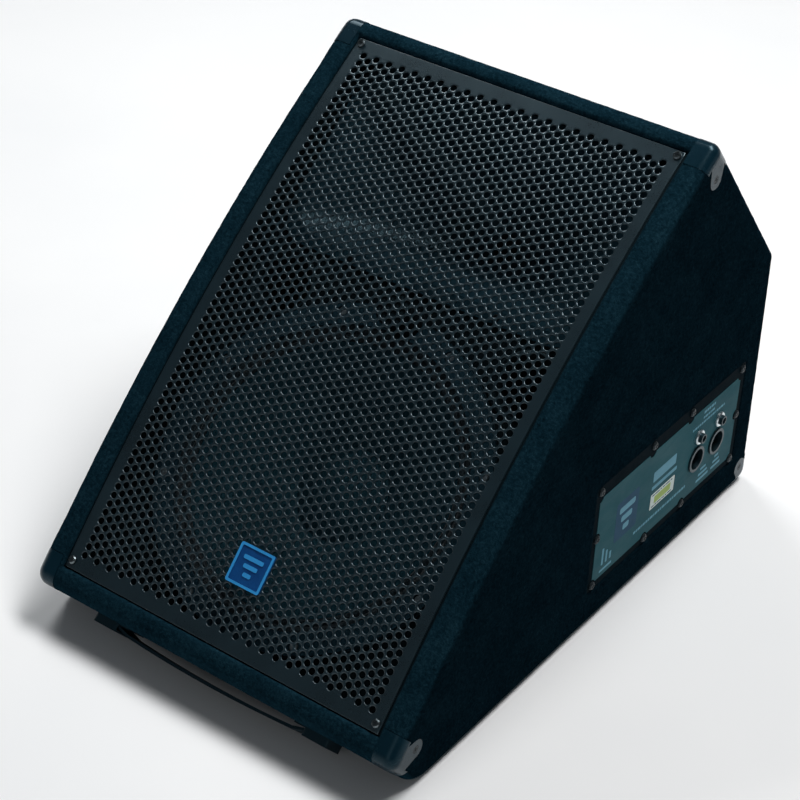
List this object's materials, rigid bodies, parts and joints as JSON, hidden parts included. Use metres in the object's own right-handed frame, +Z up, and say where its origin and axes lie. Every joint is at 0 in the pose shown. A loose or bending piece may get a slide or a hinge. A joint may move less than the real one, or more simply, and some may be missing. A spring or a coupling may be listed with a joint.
{
  "type": "stage monitor wedge",
  "caption": "Two-way passive floor monitor wedge: carpeted plywood box, bowed perforated grille over a woofer and horn, side input panel, strap handle and corner protectors.",
  "frame": {"origin": "centre of the base, on the surface it stands on", "axes": "+Z up; -Y the way the sloping front faces; +X the side that carries the input panel"},
  "size_m": [0.385, 0.5706, 0.4126],
  "materials": {
    "panel_overlay": "pale grey printed overlay, satin",
    "badge_blue": "blue moulded badge with a raised border",
    "baffle_black": "plywood painted matt black",
    "plywood": "birch plywood",
    "carpet": "dark ribless felt carpet",
    "screw_black": "black zinc screw",
    "screw_zinc": "bright zinc",
    "corner_plastic": "black glossy moulded corner",
    "circuit_board": "green laminate",
    "capacitor_film": "yellow film capacitor",
    "copper": "enamelled copper",
    "brass": "brass stand-off",
    "wadding": "polyester wadding",
    "grille_paint": "black powder coat on perforated steel",
    "foam_rubber": "black foam rubber",
    "handle_plastic": "black moulded end cap",
    "handle_rubber": "black rubber strap",
    "titanium": "titanium foil",
    "driver_steel": "zinc and black chromate steel",
    "wire_jacket": "red two-core lead",
    "abs_black": "black moulded plastic",
    "horn_plastic": "black moulded horn with a fine texture",
    "plate_paint": "black powder coat",
    "nickel": "nickel plated ring nut",
    "label_white": "white sticker with a pale yellow field",
    "former": "polyimide former",
    "basket_paint": "black painted pressed steel",
    "cone_paper": "black felted paper",
    "gasket_fibre": "dark fibre gasket",
    "ferrite": "ferrite",
    "spider_cloth": "phenolic cloth",
    "surround_cloth": "doped cloth",
    "terminal_board": "phenolic tag board"
  },
  "bodies": {
    "root": {"artwork_plate": "panel_overlay", "badge": "badge_blue", "baffle": "baffle_black", "baffle_battens": "plywood", "base_panel": "plywood", "carpet_left": "carpet", "carpet_right": "carpet", "carpet_wrap": "carpet", "corner_screws": "screw_black", "corners_front_bottom": "corner_plastic", "corners_front_top": "corner_plastic", "corners_rear_bottom": "corner_plastic", "crossover_board": "circuit_board", "crossover_capacitors": "capacitor_film", "crossover_inductors": "copper", "crossover_standoffs": "brass", "damping_pads": "wadding", "grille": "grille_paint", "grille_damper": "foam_rubber", "grille_rails": "baffle_black", "grille_screws": "screw_zinc", "handle_caps": "handle_plastic", "handle_screws": "screw_black", "hf_driver_body": "driver_steel", "hf_driver_bolts": "screw_zinc", "hf_lead": "wire_jacket", "hf_phase_plug": "abs_black", "hf_rear_cover": "abs_black", "horn": "horn_plastic", "horn_screws": "screw_black", "input_plate": "plate_paint", "input_plate_screws": "screw_black", "jack_1": "abs_black", "jack_2": "abs_black", "jack_nuts": "nickel", "port_tubes": "abs_black", "rating_label": "label_white", "rear_panel": "plywood", "side_panel_left": "plywood", "side_panel_right": "plywood", "speaker_socket_1": "abs_black", "speaker_socket_2": "abs_black", "toe_panel": "plywood", "top_panel": "plywood", "woofer_back_plate": "driver_steel", "woofer_basket": "basket_paint", "woofer_gasket": "gasket_fibre", "woofer_lead": "wire_jacket", "woofer_magnet": "ferrite", "woofer_screws": "screw_zinc", "woofer_spider": "spider_cloth", "woofer_surround": "surround_cloth", "woofer_terminals": "terminal_board", "woofer_top_plate": "driver_steel"},
    "cone": {"woofer_cone": "cone_paper", "woofer_dust_cap": "cone_paper", "voice_coil_former": "former", "voice_coil_winding": "copper"},
    "horn_diaphragm": {"hf_diaphragm": "titanium"},
    "strap": {"handle_strap": "handle_rubber"}
  },
  "joints": [
    {"name": "cone_travel", "type": "slide", "parent": "root", "child": "cone", "axis": [0, -0.6582, 0.7529], "range_m": [-0.005, 0.005], "stiffness_N_per_m": 3000, "deforming": ["woofer_surround", "woofer_spider"]},
    {"name": "diaphragm_travel", "type": "slide", "parent": "root", "child": "horn_diaphragm", "axis": [0, -0.6582, 0.7529], "range_m": [-0.00035, 0.00035], "stiffness_N_per_m": 5000},
    {"name": "strap_lift", "type": "slide", "parent": "root", "child": "strap", "axis": [0, -0.7525, -0.6586], "range_m": [0, 0.002], "stiffness_N_per_m": 400, "springref_m": -0.004}
  ]
}
